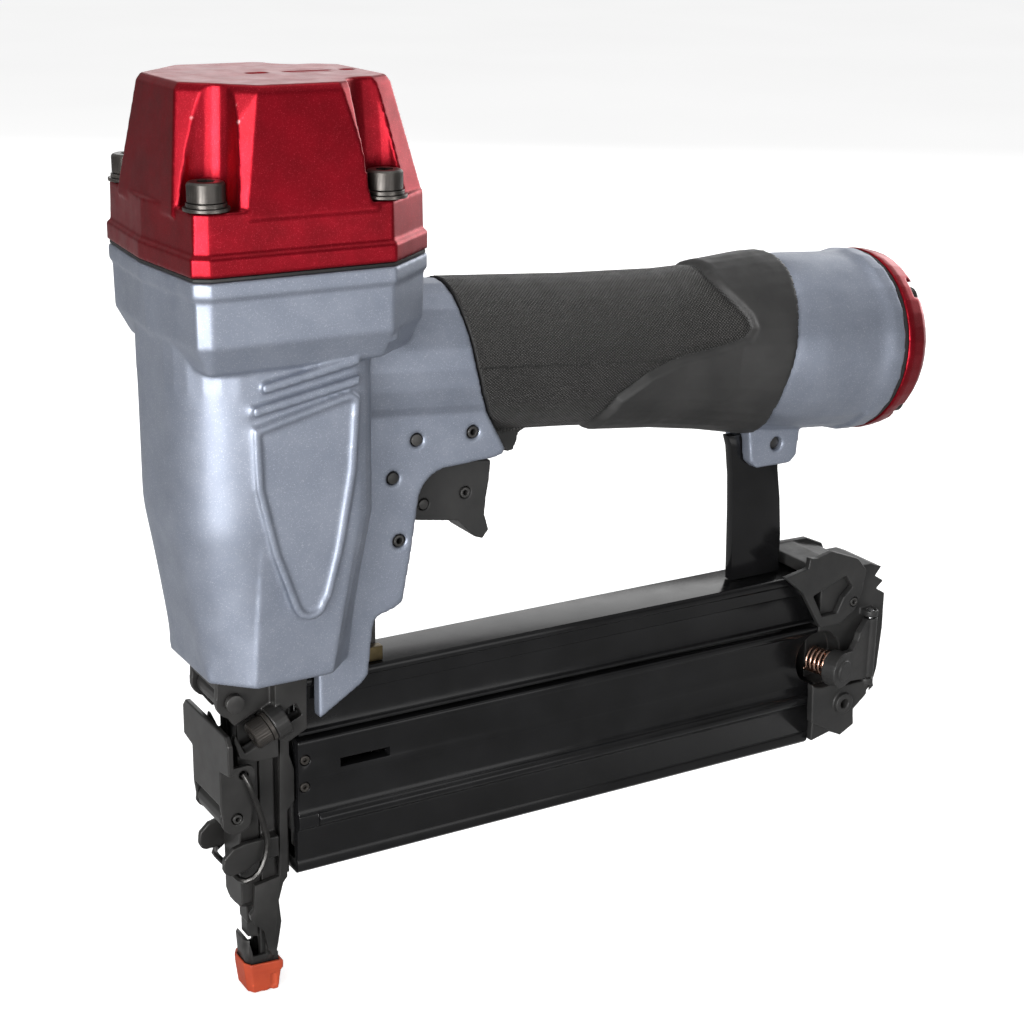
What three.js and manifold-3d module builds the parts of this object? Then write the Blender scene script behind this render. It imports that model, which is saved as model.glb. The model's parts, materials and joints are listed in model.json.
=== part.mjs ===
// Pneumatic brad nailer, in millimetres. +Z is up, +X points from the nose to the
// air inlet, and -Y is the operator's left. The driver blade runs down the Z axis,
// and the tip of the nose pad touches z = 0.

import * as THREE from "three";
import { mergeVertices } from "three/addons/utils/BufferGeometryUtils.js";
import Module from "manifold-3d";

const wasm = await Module();
wasm.setup();

// ---------------------------------------------------------------- driving sizes

const GAP = 0.3;                 // clearance between neighbouring pieces

// Heights of the main joints, from the nose pad up.
const HOUSING_BASE = 94.3;
const HOUSING_TOP = 196.2;
const CAP_BASE = 197.2;
const SEAT_Z = 211.4;            // where the cap screws sit
const CAP_TOP = 238;

// Plan of the flange that cap and housing share, counter-clockwise from the front.
const FLANGE = [
  [-25.5, 0], [-23.4, -27.2], [-19.6, -29.6], [26, -29.6], [40.4, -17.6],
  [40.4, 17.6], [26, 29.6], [-19.6, 29.6], [-23.4, 27.2],
];
const CAP_FOOT = mirrored([[-23.5, -17.4], [-9.9, -28.6], [22, -28.6], [39.2, -16.6]]);
const CAP_CROWN = mirrored([[-19.9, -12.1], [-5.9, -25.9], [14.5, -25.9], [32.9, -13.2]]);
const CAP_SCREWS = [[-18, -24], [25.7, -24], [-18, 24], [25.7, 24]];

// Cylinder, piston and driver.
const BORE_R = 17.9;
const SLEEVE = { outer: 17.5, inner: 15.6, base: 112, top: 204 };
const PISTON = { base: 194.3, top: 201.3, r: 15.3 };

// The handle's own frame: its axis starts above the drive axis and droops to the rear.
const HANDLE_DROOP = THREE.MathUtils.degToRad(4.2);
const HANDLE_Z = 169.9;
const HANDLE_END = 187.6;        // gasket plane, along the handle axis

// Cross-sections along the handle: [distance, half width, half height].
const METAL = [
  [8, 16.6, 19.8], [64, 16.6, 19.8], [100, 16.8, 20], [118, 17.5, 20.8], [134, 19.6, 22.1],
  [148, 23.1, 24], [160, 24.9, 25], [181, 25.2, 25.2], [181.8, 26.1, 26.1], [HANDLE_END - 0.6, 26.1, 26.1],
];
const RUBBER = [
  [40, 17.3, 20.6], [90, 17.5, 20.8], [118, 18.3, 21.6], [134, 20.4, 22.9], [148, 23.9, 24.8], [162, 25.6, 25.6],
];
const CORE = [[30, 14, 17.2], [118, 14.8, 18.2], [134, 16.8, 19.6], [148, 19.8, 21], [165, 23.4, 23.4]];
const AIR = [
  [12, 11.2, 14.4], [118, 12, 15.4], [134, 14, 16.8], [148, 17, 18], [160, 21.8, 21.8], [HANDLE_END + 1, 22, 22],
];

// Edges of the rubber sleeve seen from the side, as [x, z] from top to bottom.
const GRIP_FRONT = [
  [52.6, 192], [52.6, 185], [53.3, 177.5], [55.3, 166], [57.7, 158.5], [60.9, 152.4], [64.2, 146.4], [66.1, 142.8], [66.4, 136],
];
const GRIP_REAR = [
  [157.4, 190], [155.2, 182.5], [152.9, 176], [150.4, 168.5], [148.3, 158.5],
  [146.8, 151.5], [146.2, 144.5], [147.2, 138], [149.4, 132.5], [151, 129],
];

// Joint axes, as [x, z].
const TRIGGER_PIVOT = [33.3, 139.4];
const LEVER_PIVOT = [57.4, 130.4];
const DOOR_HINGE = [-9.5, 86.5];
const LATCH_PIVOT = [-9.4, 54.4];
const BAIL_PIVOT = [-7.3, 66.2];
const CATCH = [-8.6, 39.4];
const VALVE_X = 48;

// Magazine: a fixed rail on top, a sliding cover below and a block at its rear end.
const RAIL = { front: 8.6, rear: 176, top: 88.3, base: 72.2 };
const COVER = { front: 8, rear: 176.7, top: 71.4 };
const BLOCK_FRONT = 177;
const BLOCK_HALF = 8.6;
const RELEASE_POCKET = [177.5, 61.3];

// Release lever of the magazine: it swings about an upright pin, tilted out at rest.
const RELEASE_HINGE = [194.7, -11];
const RELEASE_TILT = THREE.MathUtils.degToRad(18);
const RELEASE_PAD = { s: 14.6, z: 59.2, r: 5.4 };

// ---------------------------------------------------------------- solid helpers

// Keeps only shared positions, so that the geometry is one closed body.
function closed(geometry) {
  const bare = new THREE.BufferGeometry();
  bare.setAttribute("position", geometry.getAttribute("position").clone());
  if (geometry.index) bare.setIndex(geometry.index.clone());
  return mergeVertices(bare, 1e-4);
}

function toManifold(geometry) {
  return new wasm.Manifold(new wasm.Mesh({
    numProp: 3,
    vertProperties: new Float32Array(geometry.getAttribute("position").array),
    triVerts: new Uint32Array(geometry.index.array),
  }));
}

function fromManifold(manifold) {
  const mesh = manifold.getMesh();
  const geometry = new THREE.BufferGeometry();
  geometry.setAttribute("position", new THREE.BufferAttribute(new Float32Array(mesh.vertProperties), 3));
  geometry.setIndex(new THREE.BufferAttribute(new Uint32Array(mesh.triVerts), 1));
  return geometry;
}

function join(...geometries) {
  return fromManifold(geometries.map(toManifold).reduce((sum, next) => sum.add(next)));
}

function cut(base, ...tools) {
  return fromManifold(tools.map(toManifold).reduce((rest, tool) => rest.subtract(tool), toManifold(base)));
}

function common(a, b) {
  return fromManifold(toManifold(a).intersect(toManifold(b)));
}

function turned(geometry, matrix) {
  return geometry.clone().applyMatrix4(matrix);
}

// The same solid reflected in the plane y = 0, with its faces still pointing out.
function reflected(geometry) {
  const copy = turned(geometry, new THREE.Matrix4().makeScale(1, -1, 1));
  const index = copy.index.array;
  for (let i = 0; i < index.length; i += 3) [index[i], index[i + 1]] = [index[i + 1], index[i]];
  return copy;
}

function bothSides(geometry) {
  return join(geometry, reflected(geometry));
}

// ---------------------------------------------------------------- shape helpers

// Completes an outline given for y <= 0 with its reflection, still counter-clockwise.
function mirrored(half) {
  return [...half, ...half.map(([x, y]) => [x, -y]).reverse()];
}

function shapeOf(outline) {
  return new THREE.Shape(outline.map(([a, b]) => new THREE.Vector2(a, b)));
}

function extruded(outline, depth) {
  return new THREE.ExtrudeGeometry(shapeOf(outline), { depth, bevelEnabled: false, steps: 1 });
}

// Prism over an [x, y] outline.
function prismZ(outline, z0, z1) {
  return closed(extruded(outline, z1 - z0).translate(0, 0, z0));
}

// Plate with an [x, z] outline, from y0 to y1.
function plateY(outline, y0, y1) {
  return closed(extruded(outline, y1 - y0).rotateX(Math.PI / 2).translate(0, y1, 0));
}

// Bar with a [y, z] cross-section, from x0 to x1.
function barX(section, x0, x1) {
  const toX = new THREE.Matrix4().makeBasis(
    new THREE.Vector3(0, 1, 0), new THREE.Vector3(0, 0, 1), new THREE.Vector3(1, 0, 0));
  return closed(extruded(section, x1 - x0).applyMatrix4(toX).translate(x0, 0, 0));
}

function block(x0, x1, y0, y1, z0, z1) {
  const box = new THREE.BoxGeometry(x1 - x0, y1 - y0, z1 - z0);
  return closed(box.translate((x0 + x1) / 2, (y0 + y1) / 2, (z0 + z1) / 2));
}

// Round bar, or cone, between two points.
function rod(from, to, r, sides = 16, rEnd = r) {
  const a = new THREE.Vector3(...from);
  const b = new THREE.Vector3(...to);
  const along = b.clone().sub(a);
  const bar = new THREE.CylinderGeometry(rEnd, r, along.length(), sides);
  const turn = new THREE.Quaternion().setFromUnitVectors(new THREE.Vector3(0, 1, 0), along.normalize());
  return closed(bar.applyQuaternion(turn).translate(...a.add(b).multiplyScalar(0.5).toArray()));
}

function rodZ(x, y, z0, z1, r, sides = 16) {
  return rod([x, y, z0], [x, y, z1], r, sides);
}

function rodY([x, z], y0, y1, r, sides = 16) {
  return rod([x, y0, z], [x, y1, z], r, sides);
}

// Body of revolution about the Z axis from an [r, z] profile that starts and ends on it
// or closes on itself.
function lathe(profile, sides = 32) {
  const points = profile.map(([r, z]) => new THREE.Vector2(r, z));
  return closed(new THREE.LatheGeometry(points, sides).rotateX(Math.PI / 2));
}

function ring(outer, inner, z0, z1, sides = 24) {
  return lathe([[inner, z0], [outer, z0], [outer, z1], [inner, z1], [inner, z0]], sides);
}

// Skin through rings of equally many points, closed by a fan at each end.
function loft(rings) {
  const n = rings[0].length;
  const centre = (points) => [0, 1, 2].map((k) => points.reduce((sum, p) => sum + p[k], 0) / n);
  const positions = [...rings.flat(), centre(rings[0]), centre(rings.at(-1))].flat();
  const index = [];
  const last = rings.length - 1;
  const start = rings.length * n;
  for (let i = 0; i < n; i++) {
    const j = (i + 1) % n;
    for (let k = 0; k < last; k++) {
      const [a, b, c, d] = [k * n + i, k * n + j, (k + 1) * n + j, (k + 1) * n + i];
      index.push(a, b, c, a, c, d);
    }
    index.push(start, j, i, start + 1, last * n + i, last * n + j);
  }
  const skin = new THREE.BufferGeometry();
  skin.setAttribute("position", new THREE.Float32BufferAttribute(positions, 3));
  skin.setIndex(index);
  return closed(skin);
}

// Moves each edge of a convex counter-clockwise outline inwards by d.
function inset(outline, d) {
  const count = outline.length;
  const edges = outline.map(([x, y], i) => {
    const [u, v] = outline[(i + 1) % count];
    const length = Math.hypot(u - x, v - y);
    const [nx, ny] = [(y - v) / length, (u - x) / length];
    return { nx, ny, c: nx * x + ny * y + d };
  });
  return edges.map((e, i) => {
    const p = edges[(i + count - 1) % count];
    const det = p.nx * e.ny - e.nx * p.ny;
    return [(p.c * e.ny - e.c * p.ny) / det, (p.nx * e.c - e.nx * p.c) / det];
  });
}

function level(outline, z) {
  return outline.map(([x, y]) => [x, y, z]);
}

// Wire of round section along a smooth curve through the points.
function wire(points, r, steps, sides = 8) {
  const path = new THREE.CatmullRomCurve3(points.map((p) => new THREE.Vector3(...p)), false, "centripetal");
  const section = Array.from({ length: sides }, (_, i) => {
    const angle = (2 * Math.PI * i) / sides;
    return [r * Math.cos(angle), r * Math.sin(angle)];
  });
  return closed(new THREE.ExtrudeGeometry(shapeOf(section), { steps, extrudePath: path, bevelEnabled: false }));
}

// Points of a circular arc, in degrees, as an outline's stretch.
function arc([cx, cy], r, from, to, steps) {
  return Array.from({ length: steps + 1 }, (_, i) => {
    const angle = THREE.MathUtils.degToRad(from + ((to - from) * i) / steps);
    return [cx + r * Math.cos(angle), cy + r * Math.sin(angle)];
  });
}

// ---------------------------------------------------------------- finishes

function finish(color, roughness, metalness) {
  return new THREE.MeshStandardMaterial({ color, roughness, metalness });
}

const RED = finish(0xa01228, 0.35, 0.7);
const SILVER = finish(0x848d9c, 0.45, 0.5);
const BLACK = finish(0x1e1e1f, 0.4, 0.6);
const PLASTIC = finish(0x2e2e2f, 0.55, 0.0);
const GUNMETAL = finish(0x4a4a4c, 0.4, 0.8);
const STEEL = finish(0x8a8a8c, 0.3, 1.0);
const GRIP_RUBBER = finish(0x393836, 0.85, 0.0);
const SEAL = finish(0x1c1c1c, 0.9, 0.0);
const ORANGE = finish(0xd2502a, 0.6, 0.0);
const BRASS = finish(0x8a7a45, 0.4, 0.9);
const COPPER = finish(0xb98a6a, 0.3, 1.0);

const nailer = new THREE.Group();

function piece(name, geometry, material) {
  geometry.computeVertexNormals();
  const mesh = new THREE.Mesh(geometry, material);
  mesh.name = name;
  nailer.add(mesh);
}

// ---------------------------------------------------------------- handle frame

// Places a solid that was built along +X about y = 0, z = 0 on the handle's axis.
function onHandle(geometry) {
  return turned(geometry, new THREE.Matrix4().makeRotationY(HANDLE_DROOP).setPosition(0, 0, HANDLE_Z));
}

function handleLoft(stations, points = 24) {
  const rings = stations.map(([s, w, h]) => Array.from({ length: points }, (_, i) => {
    const angle = (2 * Math.PI * i) / points;
    return [s, w * Math.cos(angle), h * Math.sin(angle)];
  }));
  return onHandle(loft(rings));
}

function shifted(edge, dx) {
  return edge.map(([x, z]) => [x + dx, z]);
}

// Space in front of the sleeve's front edge, behind its rear edge, and between the two.
function aheadOfGrip(dx) {
  return plateY([...shifted(GRIP_FRONT, dx), [-60, 136], [-60, 192]], -40, 40);
}

function behindGrip(dx) {
  return plateY([...shifted(GRIP_REAR, dx), [260, 129], [260, 190]].reverse(), -40, 40);
}

function alongGrip() {
  const rear = GRIP_REAR.map(([x, z]) => [x, z]).reverse();
  return plateY([...GRIP_FRONT, [66.4, 120], [rear[0][0], 120], ...rear, [157.4, 200], [52.6, 200]], -40, 40);
}

// ---------------------------------------------------------------- housing

// Lower body section: rounded corners that flatten into chamfers as flat goes to 1.
function bodyRing({ front, rear, half, frontR, rearR, flat, z }) {
  const corners = [
    { c: [front + frontR, -half + frontR], r: frontR, from: 180 },
    { c: [rear - rearR, -half + rearR], r: rearR, from: 270 },
    { c: [rear - rearR, half - rearR], r: rearR, from: 0 },
    { c: [front + frontR, half - frontR], r: frontR, from: 90 },
  ];
  const steps = 6;
  return corners.flatMap(({ c, r, from }) => {
    const round = arc(c, r, from, from + 90, steps);
    const [a, b] = [round[0], round.at(-1)];
    return round.map(([x, y], i) => {
      const t = i / steps;
      const chord = [a[0] + (b[0] - a[0]) * t, a[1] + (b[1] - a[1]) * t];
      return [x + (chord[0] - x) * flat, y + (chord[1] - y) * flat, z];
    });
  });
}

function lowerBody() {
  const full = { front: -23.4, rear: 24.6, half: 24.5, frontR: 16.4, rearR: 8, flat: 0 };
  const foot = { front: -17, rear: 19.5, half: 21.5, frontR: 8.6, rearR: 7.5, flat: 1, z: HOUSING_BASE };
  return loft([foot, { ...full, z: 135 }, { ...full, z: 181 }].map(bodyRing));
}

function upperBody() {
  const steps = [[5.2, 173.8], [4.2, 174.6], [1, 181], [0.8, 191.9], [0.1, 192.6], [0.1, HOUSING_TOP]];
  return loft(steps.map(([d, z]) => level(inset(FLANGE, d), z)));
}

// Web behind the cylinder: it carries the trigger and ends in the magazine's two cheeks.
function web() {
  const recess = arc([49.2, 131.2], 8.9, 178, 98, 6);
  const outline = [
    [8, 176], [8, 96], [12.2, 94], [12.2, 78.7], [24.4, 86.2], [26.1, 88.4], [27.3, 99.8], [27.9, 102.4],
    [29.2, 103.6], [33.4, 104.7], [35.9, 106.2], [38.2, 118], ...recess, [61.7, 140.7], [64.6, 141.2], [65.5, 142.8], [63.7, 146.3], [60.4, 152.4], [57.2, 158.5], [54.8, 166], [52, 176],
  ];
  return plateY(outline, -13, 13);
}

// Shield-shaped panel with a raised border, and two slanted ribs above it.
function sidePanel() {
  const outline = [
    [-8.8, 160.6], [16.4, 166.6], [18.6, 165], [17.2, 147], [13.6, 128], [10.4, 116.4],
    ...arc([4.9, 115.8], 4.6, -10, -160, 5), [-4.6, 129], [-8.4, 146],
  ].reverse();
  const floor = inset(outline, 1.7);
  const shield = cut(plateY(outline, -25.5, -19), plateY(floor, -26, -24.8));
  const rib = (z, from, to) => {
    const rise = 4.4 / 26;
    const end = arc([from + 1.1, z + 1.1], 1.1, 270, 100, 5);
    return plateY([...end, [to, z + 2.2 + rise * (to - from)], [to, z + rise * (to - from)]].reverse(), -25.9, -22);
  };
  return join(shield, rib(163.6, -9.3, 18.2), rib(168.9, -6.6, 18.2));
}

function strapLug() {
  const outline = [[148.7, 137], [150.2, 125.2], [152.4, 123.2], [164, 123.2], [166.6, 125.4], [167.2, 137]];
  return plateY(outline, -6, 6);
}

function makeHousing() {
  const handle = handleLoft(METAL);
  const shell = join(
    upperBody(), lowerBody(), web(), bothSides(sidePanel()), strapLug(),
    common(handle, aheadOfGrip(-GAP - 0.1)), handleLoft(CORE), common(handle, behindGrip(GAP)));
  const pins = [TRIGGER_PIVOT, [40, 148.4], [56, 148.4], [35, 122.7]];
  return cut(shell,
    rodZ(0, 0, 103.6, 200, BORE_R, 40), rodZ(0, 0, 183, 200, 22.5, 40),
    block(-1.2, 1.2, -1.8, 1.8, 90, 105),
    handleLoft(AIR, 24),
    block(2, 30, -9.2, 9.2, 70, 98.2),
    plateY([[28, 90], [70, 90], [70, 143.4], [28, 143.4]], -7.2, 7.2),
    rodZ(VALVE_X, 0, 142, 168, 6.8, 20),
    block(144, 170, -1.8, 1.8, 118, 132.8), rodY([159, 129.6], -7, 7, 2.05, 14),
    ...pins.map((at) => rodY(at, -14, 14, 1.8, 12)),
    ...CAP_SCREWS.map(([x, y]) => rodZ(x, y, 179.4, 200, 3, 12)),
    ...endScrewPlaces().map(([y, z]) => onHandle(rod([176, y, z], [HANDLE_END + 1, y, z], 1.9, 10))));
}

// ---------------------------------------------------------------- cylinder cap

function makeCap() {
  const skirt = loft([
    level(FLANGE, CAP_BASE), level(FLANGE, 201.5), level(inset(FLANGE, 0.9), 202.2), level(inset(FLANGE, 1.1), SEAT_Z),
  ]);
  const crown = loft([
    level(inset(CAP_FOOT, -0.2), SEAT_Z - 2), level(CAP_FOOT, SEAT_Z), level(CAP_CROWN, CAP_TOP - 1.6),
    level(inset(CAP_CROWN, 1.1), CAP_TOP),
  ]);
  const scoops = CAP_SCREWS.flatMap(([x, y]) => [
    rod([x, y, SEAT_Z], [x * 0.93, y * 0.97, CAP_TOP + 3], 7, 24), rodZ(x, y, SEAT_Z, SEAT_Z + 9, 6.4, 24),
    rodZ(x, y, CAP_BASE - 1, SEAT_Z + 1, 3, 12),
  ]);
  const slot = (x0, x1, y, w) => prismZ([
    ...arc([x0, y], w, 90, 270, 5), ...arc([x1, y], w, -90, 90, 5),
  ], CAP_TOP - 1.2, CAP_TOP + 1);
  const chamber = lathe([[0, CAP_BASE - 1], [20, CAP_BASE - 1], [20, 222], [13, 228], [0, 228]], 36);
  return cut(join(skirt, crown), ...scoops, chamber,
    slot(3.5, 6.5, 0, 1.2), slot(12, 23, -3, 0.5), slot(12, 23, 0, 0.5), slot(12, 23, 3, 0.5), slot(27.4, 28.6, 0, 1.2));
}

function makeCapGasket() {
  const plate = prismZ(inset(FLANGE, 0.5), HOUSING_TOP + 0.1, CAP_BASE - 0.1);
  return cut(plate, rodZ(0, 0, 190, 200, 22.5, 40), ...CAP_SCREWS.map(([x, y]) => rodZ(x, y, 190, 200, 3, 12)));
}

// Socket-head screw, standing on z = 0 with its thread below.
function socketScrew(headR, headH, threadR, threadLength) {
  const head = cut(rodZ(0, 0, 0, headH, headR, 20), rodZ(0, 0, headH * 0.45, headH + 1, headR * 0.55, 6));
  return join(head, rodZ(0, 0, -threadLength, 0.2, threadR, 10));
}

// Each screw carries its captive flat washer and spring washer.
function makeCapFasteners() {
  const flat = rodZ(0, 0, -1.8, -1, 5.3, 20);
  const spring = rodZ(0, 0, -1.1, 0.1, 4.6, 20);
  CAP_SCREWS.forEach(([x, y], i) => {
    const screw = join(socketScrew(4.3, 4.6, 2.7, 30), flat, spring);
    piece(`cap_screw_${i + 1}`, screw.translate(x, y, SEAT_Z + 1.9), GUNMETAL);
  });
}

// ---------------------------------------------------------------- air works

function makeDrive() {
  piece("cylinder_sleeve", ring(SLEEVE.outer, SLEEVE.inner, SLEEVE.base, SLEEVE.top, 40), STEEL);
  piece("bumper", lathe([[2.4, 104], [17, 104], [17, 108], [14.6, 111.7], [2.4, 111.7], [2.4, 104]], 28), SEAL);
  const groove = [[PISTON.r, 196.6], [13.6, 196.6], [13.6, 199], [PISTON.r, 199]];
  const piston = lathe([[0, PISTON.base], [PISTON.r, PISTON.base], ...groove, [PISTON.r, PISTON.top], [0, PISTON.top]], 32);
  piece("piston", piston, STEEL);
  piece("piston_ring", ring(15.5, 13.8, 196.8, 198.8, 28), SEAL);
  piece("driver_blade", block(-0.6, 0.6, -1.2, 1.2, 86.4, PISTON.base - 0.1), STEEL);
  const valve = [[0, 206], [9, 206], [9, 204.4], [19, 204.4], [19, 209], [11, 209], [11, 212], [0, 212]];
  piece("head_valve", lathe(valve, 32), SEAL);
  piece("head_valve_spring", ring(9.6, 8.2, 212.3, 227.6, 20), STEEL);
}

function makeTriggerValve() {
  const body = [[2.3, 144], [6.3, 144], [6.3, 147], [5.4, 147], [5.4, 163], [2.3, 163], [2.3, 144]];
  piece("trigger_valve_body", lathe(body, 20).translate(VALVE_X, 0, 0), BRASS);
  const stem = [[0, 138.6], [1.5, 138.6], [1.8, 139.2], [1.8, 152], [0, 152]];
  piece("trigger_valve_stem", lathe(stem, 12).translate(VALVE_X, 0, 0), STEEL);
  piece("trigger_valve_spring", ring(2, 1.4, 152.3, 162, 12).translate(VALVE_X, 0, 0), STEEL);
}

// ---------------------------------------------------------------- handle end

function endScrewPlaces() {
  return [45, 135, 225, 315].map((angle) => arc([0, 0], 20.6, angle, angle, 1)[0]);
}

function makeHandleEnd() {
  const around = (profile) => onHandle(turned(lathe(profile, 40), new THREE.Matrix4().makeRotationY(Math.PI / 2)));
  const [g0, g1] = [HANDLE_END - 0.5, HANDLE_END + 0.6];
  const holes = (r, x0, x1) => endScrewPlaces().map(([y, z]) => onHandle(rod([x0, y, z], [x1, y, z], r, 10)));
  const gasket = around([[18, g0], [25.6, g0], [25.6, g1], [18, g1], [18, g0]]);
  piece("end_cap_gasket", cut(gasket, ...holes(1.9, g0 - 1, g1 + 1)), SEAL);
  const [c0, c1] = [g1 + 0.1, g1 + 8.4];
  const disc = around([[7.3, c0], [26, c0], [26, c0 + 2], [25.2, c1 - 2.2], [23.6, c1], [9.6, c1], [9.6, c1 + 2], [7.3, c1 + 2], [7.3, c0]]);
  const pockets = endScrewPlaces().map(([y, z]) => {
    const out = 1.35;
    return join(
      onHandle(rod([c1 - 3.6, y, z], [c1 + 4, y, z], 4.4, 16)),
      onHandle(rod([c1 - 3.6, y * out, z * out], [c1 + 4, y * out, z * out], 4.4, 16)));
  });
  piece("end_cap", cut(disc, ...pockets, ...holes(1.9, c0 - 1, c1 + 1)), RED);
  piece("air_inlet_bush", around([[5, c0 - 3], [7, c0 - 3], [7, c1 + 2.3], [8.9, c1 + 2.3], [8.9, c1 + 4.6], [5, c1 + 4.6], [5, c0 - 3]]), BRASS);
  endScrewPlaces().forEach(([y, z], i) => {
    const screw = turned(socketScrew(3.4, 3.6, 1.6, 14), new THREE.Matrix4().makeRotationY(Math.PI / 2));
    piece(`end_cap_screw_${i + 1}`, onHandle(screw.translate(c1 - 3.5, y, z)), GUNMETAL);
  });
}

// Rubber sleeve: it wraps the handle and hangs in a small beak behind the trigger.
function makeGrip() {
  const beak = plateY([[60, 152], [66, 143], [66.4, 140.4], [70.4, 139], [71.6, 139.4], [73.4, 143.6], [76, 145.2], [80, 152]], -6.5, 6.5);
  const inner = CORE.map(([s, w, h]) => [s, w + GAP, h + GAP]);
  const blank = common(join(handleLoft(RUBBER, 36), beak), alongGrip());
  piece("grip_sleeve", cut(blank, handleLoft([[20, 14.3, 17.5], ...inner.slice(1)])), GRIP_RUBBER);
}

// ---------------------------------------------------------------- trigger group

function makeTrigger() {
  const [px, pz] = TRIGGER_PIVOT;
  const side = [
    ...arc([px, pz], 3.8, 100, 250, 6), [37.5, 132.4], [41, 126.6], [43.2, 125], [55.4, 123], [57.6, 120.6],
    [60.4, 117.8], [62.7, 117], [64.5, 119.2], [63.2, 123.6], [63.6, 128], [64.5, 133], [64.9, 138.1], [48, 140.4],
  ];
  const hollow = [[25, 150], [25, 118], [45.5, 118], [45.5, 126.3], [61.2, 124.4], [61.2, 150]];
  const lever = cut(plateY(side, -6.6, 6.6), plateY(hollow, -5.2, 5.2));
  piece("trigger", cut(lever, rodY(TRIGGER_PIVOT, -9, 9, 1.8, 12), rodY(LEVER_PIVOT, -9, 9, 1.65, 12),
    rodY([45.2, 129], -9, 9, 1.6, 12)), PLASTIC);
  piece("trip_lever_pin", cut(rodY(LEVER_PIVOT, -6.8, 6.8, 1.4, 12), rodY(LEVER_PIVOT, -9, 9, 0.75, 8)), GUNMETAL);
  piece("trigger_stop_pin", rodY([45.2, 129], -6.7, 6.7, 1.35, 12), GUNMETAL);
  const arm = [[29.6, 128.8], [34, 128.4], [44, 131.2], [56, 127.8], [60, 129.2], [60, 132], [57, 133.2], [44, 134.6], [29.6, 132]];
  piece("trip_lever", cut(plateY(arm, -3.8, 3.8), rodY(LEVER_PIVOT, -6, 6, 1.65, 12),
    rodY([45.2, 129], -6, 6, 2.1, 12)), GUNMETAL);
}

function makeHousingPins() {
  const solid = (at) => rodY(at, -12.9, 12.9, 1.5, 12);
  const rolled = (at) => cut(solid(at), rodY(at, -14, 14, 0.85, 8));
  piece("trigger_pivot_pin", solid(TRIGGER_PIVOT), GUNMETAL);
  piece("valve_pin_front", solid([40, 148.4]), GUNMETAL);
  piece("valve_pin_rear", rolled([56, 148.4]), GUNMETAL);
  piece("arm_guide_pin", rolled([35, 122.7]), GUNMETAL);
}

// ---------------------------------------------------------------- nose

// Direction in which the angled nose screws point, and the centre of the near head's face.
const NOSE_SCREW = { out: [-0.917, 0, -0.398], face: [-5.6, -10.8, 76.9], head: 4.5, washer: 1.1 };

function alongNoseScrew(distance) {
  return NOSE_SCREW.face.map((v, i) => v - NOSE_SCREW.out[i] * distance);
}

function makeNoseBody() {
  const [hx, hz] = DOOR_HINGE;
  const barrel = join(block(-1.7, 2.5, -5.6, 5.6, 28, 91), block(-1.7, 1.2, -3.5, 3.5, 9, 29), block(2, 6.6, -4.6, 4.6, 33, 88));
  const flange = block(-13.5, 2.4, -9, 9, 90, 94);
  const ear = plateY([
    [-13.6, 92], ...arc([hx, hz], 4.4, 170, 250, 5), [-8.6, 79], [-9.6, 76], [-8, 70.6], [-4, 69], [2.4, 69], [2.4, 92],
  ], -9, -7.2);
  const cheek = block(-1.7, 2.4, -9, -5, 69, 91);
  const shoulder = plateY([[0.5, 94], [0.5, 77.1], [1.4, 74.9], [4.2, 74.1], [9.1, 76.4], [9.4, 94]], -12, -8.9);
  const seat = NOSE_SCREW.head + NOSE_SCREW.washer + 0.1;
  const boss = cut(rod(alongNoseScrew(seat), alongNoseScrew(seat + 4), 4.5, 20), block(2.4, 9, -7.6, 7.6, 70, 84));
  const lug = plateY([
    [-13.4, 40.6], [-13.1, 43.6], [-10.6, 45.9], [-7.3, 46.7], [1.9, 46.7], [1.9, 41], [-4.4, 40.6], [-7, 38.8], [-11.6, 38.5], [-12.8, 39.2],
  ], -9, -7.4);
  const root = block(-1.7, 1.9, -8, -5, 41, 46.7);
  const wing = join(ear, cheek, shoulder, boss, lug, root);
  const screwRoom = join(
    rod(alongNoseScrew(-3), alongNoseScrew(seat), 4.7, 20), rod(alongNoseScrew(seat - 1), alongNoseScrew(seat + 8), 2.3, 10));
  return cut(join(barrel, flange, bothSides(cut(wing, screwRoom))),
    block(-2, 0.9, -1.5, 1.5, 8, 95), block(0.8, 7, -0.8, 0.8, 36, 84), rodY(DOOR_HINGE, -12, 12, 1.85, 12));
}

function makeNoseDoor() {
  const front = [[-5.5, 83], [-5.5, 27.6], [-2.5, 24.8], [-2.5, 20], [2.5, 20], [2.5, 24.8], [5.5, 27.6], [5.5, 83]];
  const plate = cut(barX(front, -7.4, -2), plateY([[-9, 27.2], [-9, 18], [-4.9, 18], [-4.9, 24.6]], -8, 8));
  const neck = prismZ([[-2, -3.3], [-2, 3.3], [-4.7, 2.1], [-4.7, -2.1]].reverse(), 15.6, 25);
  const relief = plateY([[-9, 84], [-9, 63], [-5.6, 61], [-5.6, 84]], -4.6, 4.6);
  const knuckle = join(rodY(DOOR_HINGE, -6.7, 6.7, 3.3, 16), plateY([[-11, 84.2], [-7.4, 80], [-2.4, 82.6], [-8, 88.6]], -5.5, 5.5));
  const boss = join(rodY(LATCH_PIVOT, -7.5, 7.5, 4, 16), block(-9.4, -4, -5.5, 5.5, 50.6, 58.2));
  return cut(join(cut(plate, relief), neck, knuckle, boss), rodY(DOOR_HINGE, -12, 12, 1.85, 12),
    rodY(LATCH_PIVOT, -12, 12, 1.55, 12));
}

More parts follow.
